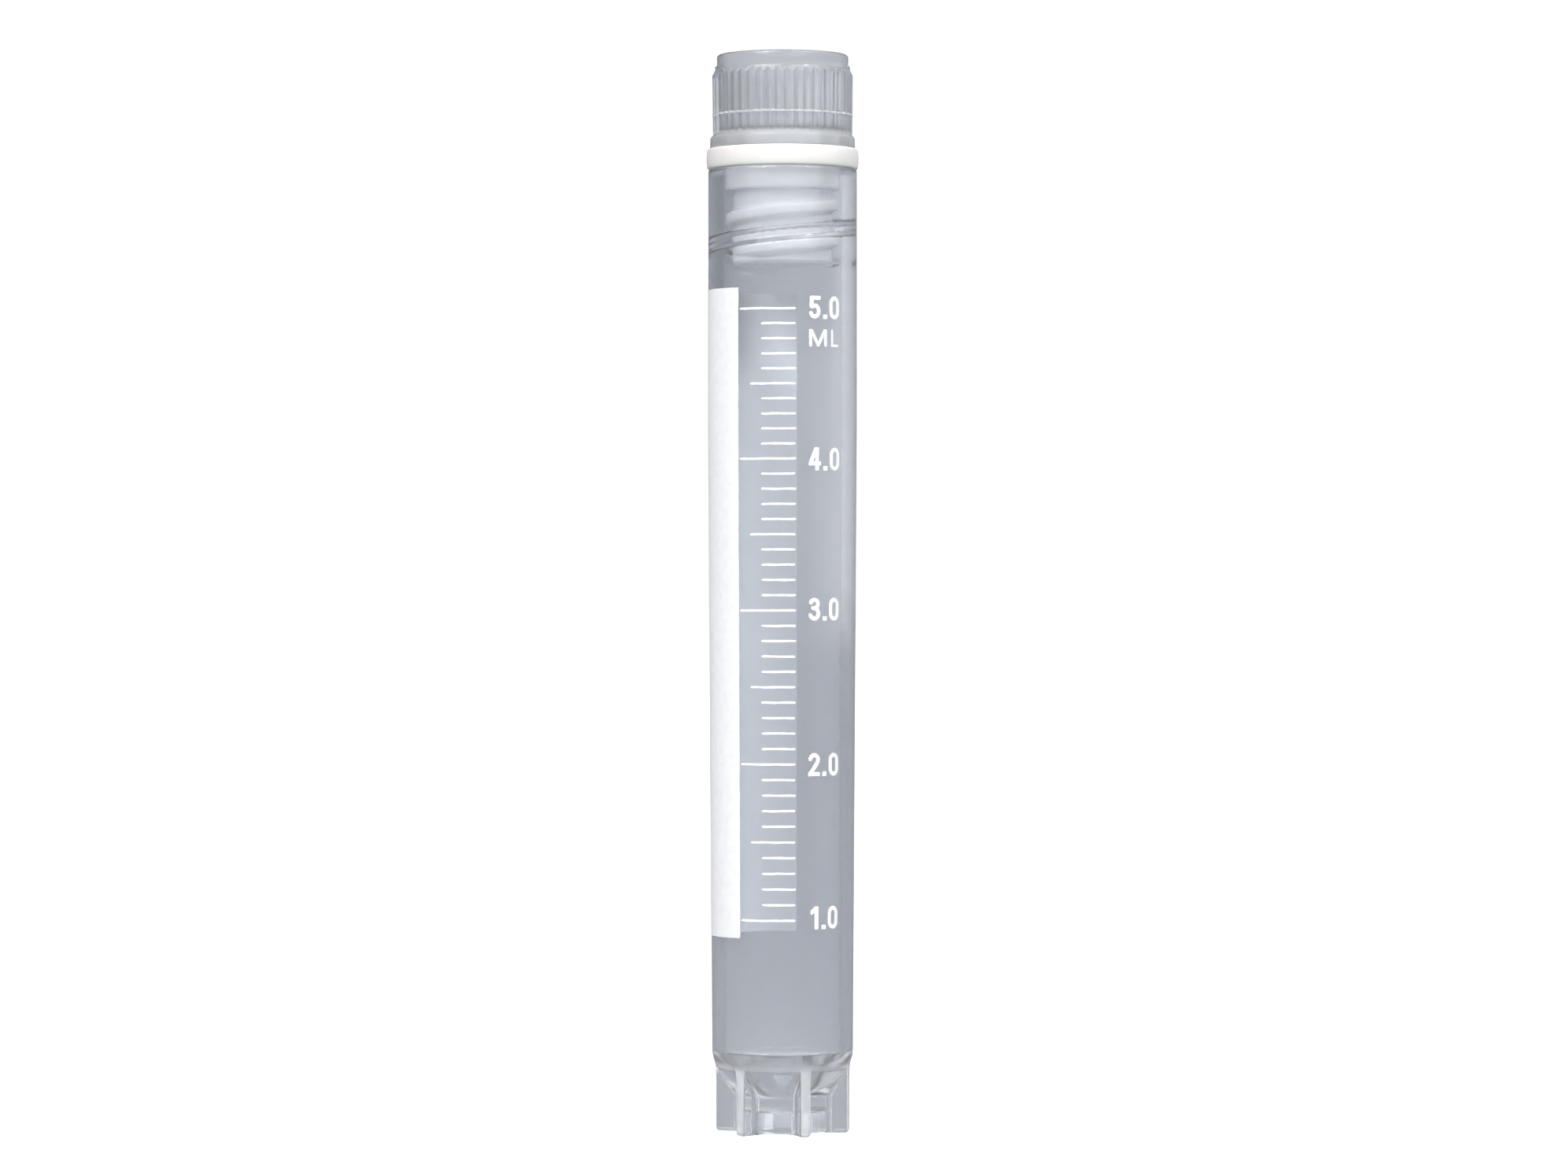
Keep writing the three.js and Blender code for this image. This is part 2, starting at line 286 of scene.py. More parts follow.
def foot_rings():
    """From the middle of the hub's roof, over the feet of the hub and ribs, up to the shoulder."""
    rings = []
    roof = [(0.5, HUB_ROOF - 0.15), (0.55, HUB_ROOF), (1.5, HUB_ROOF)]
    roof += rounded([
        (2.2, HUB_ROOF, 0), (HUB_BORE_RADIUS, HUB_ROOF, 0.3), (HUB_BORE_RADIUS, HUB_BOTTOM + 0.3, 0),
    ])
    roof += rounded([
        (HUB_BORE_RADIUS, HUB_BOTTOM + 0.2, 0), (HUB_BORE_RADIUS, HUB_BOTTOM, 0.1),
        (HUB_BORE_RADIUS + 0.2, HUB_BOTTOM, 0),
    ])
    rings += [all_round(r, EVEN, z) for r, z in roof]

    steps = np.arange(HALF_SECTOR + 1)
    is_rib = np.clip((ROOT - steps) / FILLET_STEPS, 0, 1)
    flat_core = HUB_RADIUS - HUB_FOOT_ROUND
    flat_reach, flat_half = RIB_REACH - RIB_FOOT_ROUND, RIB_HALF - RIB_FOOT_ROUND
    radius, offset = star_half(flat_core, flat_reach, flat_half, LEAST_CORNER, RIB_FILLET)
    gathered = np.where(steps < ROOT, offset[ROOT] * steps / ROOT, offset)
    floor = HUB_BOTTOM * (1 - is_rib)
    rings.append(all_round(flat_core - 0.35, (EVEN + gathered) / 2, (floor + HUB_BOTTOM) / 2))
    rings.append(all_round(flat_core - 0.1, gathered, floor))

    for k in range(FOOT_ROUND_STEPS + 1):
        angle = math.pi / 2 * (1 - k / FOOT_ROUND_STEPS)
        inset = RIB_FOOT_ROUND * (1 - math.cos(angle))
        core_inset = HUB_FOOT_ROUND * (1 - math.cos(angle))
        corner = max(RIB_CORNER - inset, LEAST_CORNER)
        core, reach = HUB_RADIUS - core_inset, RIB_REACH - inset
        radius, offset = star_half(core, reach, RIB_HALF - inset, corner, RIB_FILLET)
        lift = 1 - math.sin(angle)
        rib_foot, hub_foot = RIB_FOOT_ROUND * lift, HUB_BOTTOM + HUB_FOOT_ROUND * lift
        rings.append(all_round(radius, offset, is_rib * rib_foot + (1 - is_rib) * hub_foot))

    cone = rounded([
        (HUB_RADIUS, 0.8, 0), (HUB_RADIUS, HUB_TOP, 0.8), (RIB_REACH - 0.07, RIB_TOP - 0.1, 0),
    ], steps=7)
    for core, height in stepped(cone, 0.45):
        radius, offset = star_half(core, RIB_REACH, RIB_HALF, RIB_CORNER, RIB_FILLET)
        rings.append(all_round(radius, offset, height))
    shoulder = ((RIB_REACH + 0.04, 5.8), (5.77, 6.1), (5.86, 6.42), (SHOULDER_RADIUS, SHOULDER_TOP))
    for k, (radius, height) in enumerate(shoulder, 1):
        share = k / len(shoulder)
        rings.append(all_round(radius, offset + (EVEN - offset) * share, height))
    return rings


def wall_radius(height):
    """Outside radius of the tube above its shoulder."""
    return np.interp(height, (SHOULDER_TOP, TAPER_TOP), (SHOULDER_RADIUS, BODY_RADIUS))


def make_tube(material):
    rings = foot_rings()
    outside = [(wall_radius(z), z) for z in (10, *range(15, 60, 5), TAPER_TOP, 65, 70, 75, 80)]
    rim = rounded([
        (BODY_RADIUS, 80.5, 0), (BODY_RADIUS, RIM_HEIGHT, 0.22),
        (BORE_MOUTH_RADIUS, RIM_HEIGHT, 0.3), (BORE_MOUTH_RADIUS, 80, 0),
    ])
    cavity = rounded([
        (BORE_MOUTH_RADIUS, 71, 0), (BORE_MOUTH_RADIUS, TAPER_TOP, 0), (BORE_FOOT_RADIUS, 6.9, 0.25),
        (0.85, CAVITY_FLOOR, 0.5), (0.1, CAVITY_FLOOR, 0),
    ], steps=8)
    rings += [all_round(r, EVEN, z) for r, z in outside + rim]
    azimuth = rings[-1][1]
    for height in np.arange(79.9, 71, -THREAD_STEP):
        rings.append((BORE_MOUTH_RADIUS + ridge_relief(azimuth, height, TUBE_RIDGE), azimuth, height))
    rings += [all_round(r, EVEN, z) for r, z in stepped(cavity, 4)]
    piece = make_mesh("tube_body", *skin_through(rings), "tube", material)
    piece.visible_shadow = False  # so that the lamps light what is inside it
    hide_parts("tube")


# ---------------------------------------------------------------- cap and washer

KNURL_SAMPLES = 8
LONGEST_STEP = 1.5


def knurl_profile(azimuth):
    """1 on top of a grip ridge, 0 in the valley between two."""
    phase = azimuth * KNURL_COUNT / 360 % 1
    return smooth((np.abs(phase - 0.5) - 0.14) / 0.2)


def barrel_radius(azimuth, height):
    """The grip: ridges that end in the top chamfer and run out on the flange."""
    ridge_top = np.interp(height, (BARREL_BOTTOM, BARREL_TOP), (BARREL_BOTTOM_RADIUS, BARREL_TOP_RADIUS))
    witness = WITNESS_RELIEF * math.exp(-(((height - WITNESS_HEIGHT) / WITNESS_WIDTH) ** 2))
    radius = ridge_top - KNURL_DEPTH * (1 - knurl_profile(azimuth)) + witness
    chamfer = np.interp(height, (BARREL_TOP, CAP_RIM_BOTTOM), (BARREL_TOP_RADIUS, CAP_RIM_RADIUS))
    run_out = np.interp(height, *GRIP_RUN_OUT)
    return np.maximum(np.minimum(radius, chamfer), run_out)


def make_cap(material):
    azimuth = np.arange(KNURL_COUNT * KNURL_SAMPLES) * 360 / (KNURL_COUNT * KNURL_SAMPLES)
    plug_end = rounded([(0.1, PLUG_BOTTOM, 0), (PLUG_RADIUS, PLUG_BOTTOM, 0.3), (PLUG_RADIUS, 73.4, 0)])
    neck = rounded([
        (PLUG_RADIUS, 79, 0), (PLUG_RADIUS, NECK_BOTTOM, 0.06), (NECK_RADIUS, NECK_BOTTOM, 0.22),
        (NECK_RADIUS, FLANGE_BOTTOM, 0.05), (FLANGE_RADIUS, FLANGE_BOTTOM, 0.15),
        (FLANGE_RADIUS - 0.02, 83.6, 0.25), (5.97, 83.72, 0),
    ])
    top = rounded([
        (CAP_RIM_RADIUS, CAP_RIM_BOTTOM, 0), (CAP_RIM_RADIUS, CAP_TOP, 0.24),
        (RECESS_RADIUS, CAP_TOP, 0.12),
        (RECESS_RADIUS - 0.05, RECESS_FLOOR, 0.3), (PLUG_BORE_RADIUS, RECESS_FLOOR, 0.25),
        (PLUG_BORE_RADIUS - 0.1, PLUG_FLOOR, 0.4), (0.1, PLUG_FLOOR, 0),
    ])
    rings = [(r, azimuth, z) for r, z in stepped(plug_end, LONGEST_STEP)]
    for height in np.arange(73.2, 78.99, THREAD_STEP):
        rings.append((PLUG_RADIUS + ridge_relief(azimuth, height, PLUG_RIDGE), azimuth, height))
    rings += [(r, azimuth, z) for r, z in neck]
    # Close together where the grip runs out, at the witness line and on the chamfer
    heights = [*np.arange(83.72, 84.2, 0.05), *np.arange(84.3, 85.2, 0.3), *np.arange(85.25, 85.76, 0.05)]
    heights += [*np.arange(86.1, 88.7, 0.4), *np.arange(88.75, CAP_RIM_BOTTOM, 0.06)]
    rings += [(barrel_radius(azimuth, z), azimuth, z) for z in heights]
    rings += [(r, azimuth, z) for r, z in stepped(top, LONGEST_STEP)]
    piece = make_mesh("cap_moulding", *skin_through(rings), "cap", material)
    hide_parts("screw_cap")


def make_washer(material):
    azimuth = np.arange(0, 360, 2.5)
    low, high = washer_low.z, washer_high.z
    middle, half = (low + high) / 2, (high - low) / 2
    bulge = []
    for k in range(BULGE_STEPS + 1):
        angle = math.pi * (k / BULGE_STEPS - 0.5)
        out = (WASHER_RADIUS - WASHER_FACE_RADIUS) * math.cos(angle) ** BULGE_POWER
        bulge.append((WASHER_FACE_RADIUS + out, middle + half * math.sin(angle)))
    bore = [(WASHER_BORE_RADIUS + 0.1, high), (WASHER_BORE_RADIUS, high - 0.1),
            (WASHER_BORE_RADIUS, low + 0.1), (WASHER_BORE_RADIUS + 0.1, low)]
    rings = [(r, azimuth, z) for r, z in bulge + bore]
    piece = make_mesh("washer_ring", *skin_through(rings, looped=True), "washer", material, crease=60)
    piece.visible_shadow = False  # so that it doesn't shade the plug either
    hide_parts("sealing_washer")


# ---------------------------------------------------------------- printed ink


def on_wall(azimuth, height, lift):
    """A point a little outside the tube's wall."""
    return ring_points((wall_radius(height) + lift, azimuth, height))


def film(name, azimuth, height, material):
    """An ink film over a grid of azimuths and heights, both of shape (columns, rows)."""
    columns, rows = azimuth.shape
    faces = []
    top = np.arange(columns * rows).reshape(columns, rows)
    under = top + columns * rows
    for i in range(columns - 1):
        for j in range(rows - 1):
            quad = (i, j), (i + 1, j), (i + 1, j + 1), (i, j + 1)
            faces += [[int(top[c]) for c in quad], [int(under[c]) for c in reversed(quad)]]
    edge = [(i, 0) for i in range(columns)] + [(columns - 1, j) for j in range(1, rows)]
    edge += [(i, rows - 1) for i in range(columns - 2, -1, -1)] + [(0, j) for j in range(rows - 2, 0, -1)]
    for a, b in zip(edge, edge[1:] + edge[:1]):
        faces.append([int(top[b]), int(top[a]), int(under[a]), int(under[b])])
    flat = azimuth.ravel(), height.ravel()
    points = np.vstack((on_wall(*flat, INK_GAP + INK_THICKNESS), on_wall(*flat, INK_GAP)))
    piece = make_mesh(name, points, faces, "tube", material, crease=60)
    return piece


def wobble(x, y, seed, size=0.35):
    """A smooth random number from -1 to 1 that changes over a length of about size."""
    return noise.noise(Vector((x / size, y / size, seed * 7.3)))


def near_end(share, band):
    """1 at both ends of a span from 0 to 1, falling to 0 half a band further in."""
    return max(0, 1 - (1 - abs(2 * share - 1)) / band)


def make_panel(material):
    low, high = panel_low.z, panel_high.z
    across, up = np.linspace(0, 1, 120), np.linspace(0, 1, 140)
    azimuth = np.empty((len(across), len(up)))
    height = np.empty_like(azimuth)
    for i, a in enumerate(across):
        for j, u in enumerate(up):
            z = low + (high - low) * u
            x = PANEL_FROM + (PANEL_TO - PANEL_FROM) * a
            azimuth[i, j] = x + 0.3 * near_end(a, 1 / 40) * wobble(z, 0, 1 + (a > 0.5))
            ripple = wobble(x / DEGREES_PER_MM, 0, 3 + (u > 0.5))
            height[i, j] = z + 0.035 * near_end(u, 1 / 60) * ripple
    piece = film("panel_ink", azimuth, height, material)
    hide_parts("writing_panel")


def make_marks(material):
    """The volume scale: a line for each 0.1 ml from 1.0 to 5.0 ml."""
    heights = {}
    height = FIRST_MARK_HEIGHT
    for tenths in range(10, 51):
        heights[tenths] = height
        length = "whole" if tenths % 10 == 0 else "half" if tenths % 5 == 0 else "tenth"
        start = MARK_AZIMUTHS[length] + 0.25 * wobble(height, 1, 11)
        end = MARK_END_AZIMUTH + 0.5 * wobble(height, 2, 12) - 0.4 * (wobble(height, 3, 13) > 0.25)
        along = np.linspace(start, end, int((end - start) * 2))
        side = np.array([-0.5, -0.2, 0.2, 0.5]) * MARK_THICKNESS
        azimuth, offset = np.meshgrid(along, side, indexing="ij")
        across = along / DEGREES_PER_MM
        ragged = np.array([[1 + 0.35 * wobble(x, o, tenths) for o in side] for x in across])
        taper = np.interp(np.minimum(azimuth - start, end - azimuth), (0, 0.9), (0.45, 1))
        drift = np.array([[0.03 * wobble(x, 0, tenths + 0.5, size=1.2)] for x in across])
        film(f"mark_{tenths / 10:.1f}_ml", azimuth, height + offset * ragged * taper + drift, material)
        bore = np.interp(height, (7, TAPER_TOP), (BORE_FOOT_RADIUS, BORE_MOUTH_RADIUS))
        height += 100 / (math.pi * bore**2)
    return heights


DIGIT_HEIGHT = 1.92
DIGIT_STROKE = 0.34
LETTER_HEIGHT = 1.44


def arc(x, y, wide, tall, start, end, steps=14):
    """Points on an ellipse, from one angle to another, in degrees."""
    angles = np.radians(np.linspace(start, end, steps))
    return [(x + wide * math.cos(a), y + tall * math.sin(a)) for a in angles]


# Each glyph: its width, height and stroke, and the lines that its strokes follow. Strokes are cut off at
# the glyph's own box, so that they end square.
GLYPHS = {
    "0": (1.1, DIGIT_HEIGHT, DIGIT_STROKE, [
        arc(0.55, 1.3, 0.38, 0.45, 0, 180) + arc(0.55, 0.62, 0.38, 0.45, 180, 360) + [(0.93, 1.3)],
    ]),
    "1": (0.8, DIGIT_HEIGHT, 0.36, [
        [(0.55, -0.3), (0.55, 2.2)],
        [(0.55, 1.8), (0.12, 1.42)],
    ]),
    "2": (1.08, DIGIT_HEIGHT, DIGIT_STROKE, [
        arc(0.54, 1.36, 0.36, 0.39, 170, -40) + [(0.2, 0.2)],
        [(0.0, 0.17), (1.5, 0.17)],
    ]),
    "3": (1.08, DIGIT_HEIGHT, DIGIT_STROKE, [
        arc(0.52, 1.4, 0.34, 0.35, 160, -90),
        arc(0.52, 0.61, 0.38, 0.44, 90, -160),
        [(0.4, 1.05), (0.6, 1.05)],
    ]),
    "4": (1.12, DIGIT_HEIGHT, DIGIT_STROKE, [
        [(0.74, -0.3), (0.74, 2.2)],
        [(0.66, 1.86), (0.14, 0.6)],
        [(0.0, 0.58), (1.5, 0.58)],
    ]),
    "5": (1.08, DIGIT_HEIGHT, DIGIT_STROKE, [
        [(0.22, 1.75), (1.5, 1.75)],
        [(0.26, 1.8), (0.22, 1.05)],
        arc(0.52, 0.64, 0.38, 0.46, 125, -158),
    ]),
    ".": (0.42, 0.38, 0.6, [[(0.21, -0.2), (0.21, 0.6)]]),
    "M": (1.7, LETTER_HEIGHT, 0.27, [
        [(0.14, -0.3), (0.14, 1.8)],
        [(1.56, -0.3), (1.56, 1.8)],
        [(0.14, 1.5), (0.85, 0.1)],
        [(0.85, 0.1), (1.56, 1.5)],
    ]),
    "L": (0.82, LETTER_HEIGHT, 0.2, [
        [(0.1, -0.3), (0.1, 1.8)],
        [(0.1, 0.1), (1.2, 0.1)],
    ]),
}
GLYPH_GAP = 0.23
INK_CELL = 0.05


def glyph_depth(x, y, glyph, seed):
    """How deep inside a glyph's ink a point is, in millimetres; negative outside it."""
    width, height, stroke, lines = glyph
    nearest = math.inf
    for line in lines:
        for (x0, y0), (x1, y1) in zip(line, line[1:]):
            dx, dy = x1 - x0, y1 - y0
            t = max(0, min(1, ((x - x0) * dx + (y - y0) * dy) / (dx * dx + dy * dy)))
            nearest = min(nearest, math.hypot(x - x0 - t * dx, y - y0 - t * dy))
    inside_box = min(x, width - x, y, height - y)
    return min(stroke / 2 - nearest, inside_box) + 0.02 * wobble(x, y, seed, size=0.2)


def glyph_outline(glyph, seed):
    """Faces that fill a glyph: a grid of cells, cut where the ink ends."""
    width, height = glyph[:2]
    columns, rows = math.ceil(width / INK_CELL) + 3, math.ceil(height / INK_CELL) + 3
    spot = {(i, j): ((i - 1) * INK_CELL, (j - 1) * INK_CELL) for i in range(columns) for j in range(rows)}
    depth = {key: glyph_depth(*spot[key], glyph, seed) for key in spot}
    points, index, faces = [], {}, []

    def vertex(key, place):
        if key not in index:
            index[key] = len(points)
            points.append(place)
        return index[key]

    for i in range(columns - 1):
        for j in range(rows - 1):
            corners = [(i, j), (i + 1, j), (i + 1, j + 1), (i, j + 1)]
            face = []
            for a, b in zip(corners, corners[1:] + corners[:1]):
                if depth[a] > 0:
                    face.append(vertex(a, spot[a]))
                if (depth[a] > 0) != (depth[b] > 0):
                    t = depth[a] / (depth[a] - depth[b])
                    place = tuple(p + (q - p) * t for p, q in zip(spot[a], spot[b]))
                    face.append(vertex((min(a, b), max(a, b)), place))
            if len(face) > 2:
                faces.append(face)
    return points, faces


def ink_glyph(name, letter, azimuth, base, material):
    """One printed character, bent round the tube. Returns the azimuth where it ends."""
    glyph = GLYPHS[letter]
    points, faces = glyph_outline(glyph, seed=azimuth + base)
    x, y = np.array(points).T
    height = base + y
    turn = azimuth + np.degrees(x / wall_radius(height))
    count = len(points)
    uses = {}
    for face in faces:
        for a, b in zip(face, face[1:] + face[:1]):
            uses[a, b] = uses.get((a, b), 0) + 1
    rim = [(a, b) for a, b in uses if (b, a) not in uses]
    faces += [[v + count for v in reversed(face)] for face in faces]
    faces += [[b, a, a + count, b + count] for a, b in rim]
    skin = np.vstack((on_wall(turn, height, INK_GAP + INK_THICKNESS), on_wall(turn, height, INK_GAP)))
    piece = make_mesh(name, skin, faces, "tube", material, crease=60)
    return azimuth + math.degrees((glyph[0] + GLYPH_GAP) / wall_radius(base))


def make_numerals(heights, material):
    for whole in range(1, 6):
        base = heights[whole * 10] - DIGIT_HEIGHT / 2 + NUMERAL_RISE[whole]
        azimuth = NUMERAL_AZIMUTH + (FIRST_NUMERAL_SHIFT if whole == 1 else 0)
        for place, letter in zip(("units", "point", "tenths"), f"{whole}.0"):
            azimuth = ink_glyph(f"numeral_{whole}_{place}", letter, azimuth, base, material)
    azimuth = NUMERAL_AZIMUTH
    base = heights[50] - DIGIT_HEIGHT / 2 - LETTER_DROP
    for letter in "ML":
        azimuth = ink_glyph(f"unit_letter_{letter.lower()}", letter, azimuth, base, material) + LETTER_SPACE


# ---------------------------------------------------------------- materials


def new_material(name):
    material = bpy.data.materials.new(name)
    material.use_nodes = True
    shader = material.node_tree.nodes["Principled BSDF"]
    return material, material.node_tree, shader


def noise_field(tree, scale, detail=3.0, stretch=(1, 1, 1)):
    """A noise value over the object's own coordinates, in metres."""
    place = tree.nodes.new("ShaderNodeTexCoord")
    mapping = tree.nodes.new("ShaderNodeMapping")
    mapping.inputs["Scale"].default_value = stretch
    field = tree.nodes.new("ShaderNodeTexNoise")
    field.inputs["Scale"].default_value = scale
    field.inputs["Detail"].default_value = detail
    tree.links.new(place.outputs["Object"], mapping.inputs["Vector"])
    tree.links.new(mapping.outputs["Vector"], field.inputs["Vector"])
    return field.outputs["Fac"]


def spread(tree, value, low, high):
    """A noise value remapped to lie between two numbers."""
    node = tree.nodes.new("ShaderNodeMapRange")
    node.inputs["From Min"].default_value = 0.3
    node.inputs["From Max"].default_value = 0.7
    node.inputs["To Min"].default_value = low
    node.inputs["To Max"].default_value = high
    tree.links.new(value, node.inputs["Value"])
    return node.outputs["Result"]


def colour_between(tree, value, first, second):
    ramp = tree.nodes.new("ShaderNodeValToRGB")
    ramp.color_ramp.elements[0].position = 0.3
    ramp.color_ramp.elements[1].position = 0.7
    ramp.color_ramp.elements[0].color = (*first, 1)
    ramp.color_ramp.elements[1].color = (*second, 1)
    tree.links.new(value, ramp.inputs["Fac"])
    return ramp.outputs["Color"]


def add_bump(tree, shader, value, strength, distance):
    bump = tree.nodes.new("ShaderNodeBump")
    bump.inputs["Strength"].default_value = strength
    bump.inputs["Distance"].default_value = distance
    tree.links.new(value, bump.inputs["Height"])
    tree.links.new(bump.outputs["Normal"], shader.inputs["Normal"])


FROST_ROUGHNESS = 0.2
FROST_MILK = 0.28
WITNESS_MILK = 0.4
FROST_EDGE = (5.52, 5.62)  # the radii between which the frost sets in
FROST_FADE = (6.3, 5.4)  # the heights between which it does
POLYPROPYLENE_IOR = 1.49


def ramp_between(tree, value, low, high):
    """0 at low and 1 at high, in millimetres."""
    node = tree.nodes.new("ShaderNodeMapRange")
    node.inputs["From Min"].default_value = low * MM
    node.inputs["From Max"].default_value = high * MM
    tree.links.new(value, node.inputs["Value"])
    return node.outputs["Result"]


def arithmetic(tree, operation, first, second):
    node = tree.nodes.new("ShaderNodeMath")
    node.operation = operation
    for socket, value in zip(node.inputs, (first, second)):
        if isinstance(value, (int, float)):
            socket.default_value = value
        else:
            tree.links.new(value, socket)
    return node.outputs[0]


def radius_and_height(tree):
    """Distance from the vial's axis and height of the point being shaded, in metres."""
    place = tree.nodes.new("ShaderNodeTexCoord")
    split = tree.nodes.new("ShaderNodeSeparateXYZ")
    tree.links.new(place.outputs["Object"], split.inputs[0])
    squares = [arithmetic(tree, "MULTIPLY", split.outputs[c], split.outputs[c]) for c in "XY"]
    return arithmetic(tree, "SQRT", arithmetic(tree, "ADD", *squares), 0), split.outputs["Z"]


def foot_frost(tree):
    """1 on the outer faces of the foot's ribs, 0 elsewhere."""
    radius, height = radius_and_height(tree)
    far_out = ramp_between(tree, radius, *FROST_EDGE)
    low_down = ramp_between(tree, height, *FROST_FADE)
    return arithmetic(tree, "MULTIPLY", far_out, low_down)


def witness_ring(tree):
    """1 on the faint ring round the cap's grip, 0 elsewhere."""
    height = radius_and_height(tree)[1]
    above = ramp_between(tree, height, WITNESS_HEIGHT - 0.1, WITNESS_HEIGHT - 0.03)
    below = ramp_between(tree, height, WITNESS_HEIGHT + 0.1, WITNESS_HEIGHT + 0.03)
    return arithmetic(tree, "MULTIPLY", above, below)


def polypropylene(name, pale, deep, clear, gloss, thick_below, thick_milk, frosted_foot=False,
                  witness_line=False):
    """Translucent moulded plastic: mostly clear, a little milky, with faint flow streaks. What lies below a
    height has thicker sections and is milkier."""
    material, tree, shader = new_material(name)
    streaks = noise_field(tree, 900, stretch=(1, 1, 0.12))
    tree.links.new(colour_between(tree, streaks, pale, deep), shader.inputs["Base Color"])
    thick = ramp_between(tree, radius_and_height(tree)[1], thick_below + 0.15, thick_below - 0.15)
    milk = arithmetic(tree, "MULTIPLY", thick, thick_milk)
    roughness = spread(tree, noise_field(tree, 1500), gloss, gloss + 0.03)
    if witness_line:
        milk = arithmetic(tree, "ADD", milk, arithmetic(tree, "MULTIPLY", witness_ring(tree), WITNESS_MILK))
    if frosted_foot:
        frost = foot_frost(tree)
        milk = arithmetic(tree, "ADD", milk, arithmetic(tree, "MULTIPLY", frost, FROST_MILK))
        roughness = arithmetic(tree, "ADD", roughness, arithmetic(tree, "MULTIPLY", frost, FROST_ROUGHNESS))
    tree.links.new(arithmetic(tree, "SUBTRACT", clear, milk), shader.inputs["Transmission Weight"])
    tree.links.new(roughness, shader.inputs["Roughness"])
    add_bump(tree, shader, noise_field(tree, 2600, detail=5), 0.03, 0.00003)
    shader.inputs["IOR"].default_value = POLYPROPYLENE_IOR
    shader.inputs["Subsurface Weight"].default_value = 1
    shader.inputs["Subsurface Radius"].default_value = (1.0, 1.0, 1.1)
    shader.inputs["Subsurface Scale"].default_value = 0.0012
    return material


def silicone():
    material, tree, shader = new_material("silicone")
    cloud = noise_field(tree, 500)
    shade = colour_between(tree, cloud, (0.85, 0.838, 0.8), (0.82, 0.808, 0.77))
    tree.links.new(shade, shader.inputs["Base Color"])
    tree.links.new(spread(tree, noise_field(tree, 1800), 0.38, 0.5), shader.inputs["Roughness"])
    add_bump(tree, shader, noise_field(tree, 5000, detail=4), 0.1, 0.00003)
    shader.inputs["Subsurface Weight"].default_value = 0.4
    shader.inputs["Subsurface Scale"].default_value = 0.0008
    return material


def ink_underside_shade_mask(tree):
    """1 on the face of an ink film that sticks to the tube's wall, 0 on its outer face: where the ink gets
    its painted shade.
    """
    radius, height = radius_and_height(tree)
    slope = (BODY_RADIUS - SHOULDER_RADIUS) / (TAPER_TOP - SHOULDER_TOP)
    climb = arithmetic(tree, "MULTIPLY", arithmetic(tree, "SUBTRACT", height, SHOULDER_TOP * MM), slope)
    wall = arithmetic(tree, "ADD", arithmetic(tree, "MINIMUM", climb, (BODY_RADIUS - SHOULDER_RADIUS) * MM),
                      SHOULDER_RADIUS * MM)
    middle = INK_GAP + INK_THICKNESS / 2
    return ramp_between(tree, arithmetic(tree, "SUBTRACT", radius, wall), middle + 0.003, middle - 0.003)


INK_UNDERSIDE_SHADE = (0.5, 0.508, 0.52)  # painted shade: the print's face against the wall is coloured a darker grey, so that it looks greyer seen through the wall


def white_ink():
    material, tree, shader = new_material("white_ink")
    mottle = noise_field(tree, 1400, detail=4)
    outer = colour_between(tree, mottle, (0.96, 0.96, 0.95), (0.9, 0.9, 0.9))
    blend = tree.nodes.new("ShaderNodeMix")  # its colours are inputs 6 and 7 and output 2
    blend.data_type = "RGBA"
    # The ink's face against the wall takes a flat grey instead of the white: painted shade, not the ink's
    # own colour
    tree.links.new(ink_underside_shade_mask(tree), blend.inputs["Factor"])
    tree.links.new(outer, blend.inputs[6])
    blend.inputs[7].default_value = (*INK_UNDERSIDE_SHADE, 1)
    tree.links.new(blend.outputs[2], shader.inputs["Base Color"])
    tree.links.new(spread(tree, noise_field(tree, 2500), 0.55, 0.75), shader.inputs["Roughness"])
    add_bump(tree, shader, noise_field(tree, 7000, detail=3), 0.15, 0.00002)
    return material


# ---------------------------------------------------------------- stage


def soft_light(name, azimuth, elevation, width, strength):
    """A distant light from an azimuth and elevation, width degrees across."""
    light = bpy.data.lights.new(name, "SUN")
    light.angle = math.radians(width)
    light.energy = strength
    a, e = math.radians(azimuth), math.radians(elevation)
    back = Vector((math.sin(a) * math.cos(e), -math.cos(a) * math.cos(e), math.sin(e)))
    lamp = bpy.data.objects.new(name, light)
    lamp.rotation_euler = back.to_track_quat("Z", "Y").to_euler()
    bpy.context.scene.collection.objects.link(lamp)


# Each pair of lamps: its side, azimuth and elevation, and the strengths of its softbox and its bulb
LAMPS = (("left", -34, 38, 2.35, 0.5), ("right", 46, 40, 1.4, 0.3))
SOFTBOX_WIDTH, BULB_WIDTH = 50, 8

# The colour of the room by direction along X
ROOM = ((-1, (0.1, 0.107, 0.124)), (-0.35, (0.22, 0.231, 0.256)), (0, (0.34, 0.353, 0.383)),
        (0.35, (0.45, 0.464, 0.493)), (1, (0.5, 0.514, 0.54)))
ROOM_GAIN = 1.5  # how much brighter the room is away from the wall straight behind
WALL_EDGE, WALL_CORE = 0.3, 0.98  # direction along Y where that wall starts, and where it is at its dimmest
WHITE_STRENGTH = 1.05


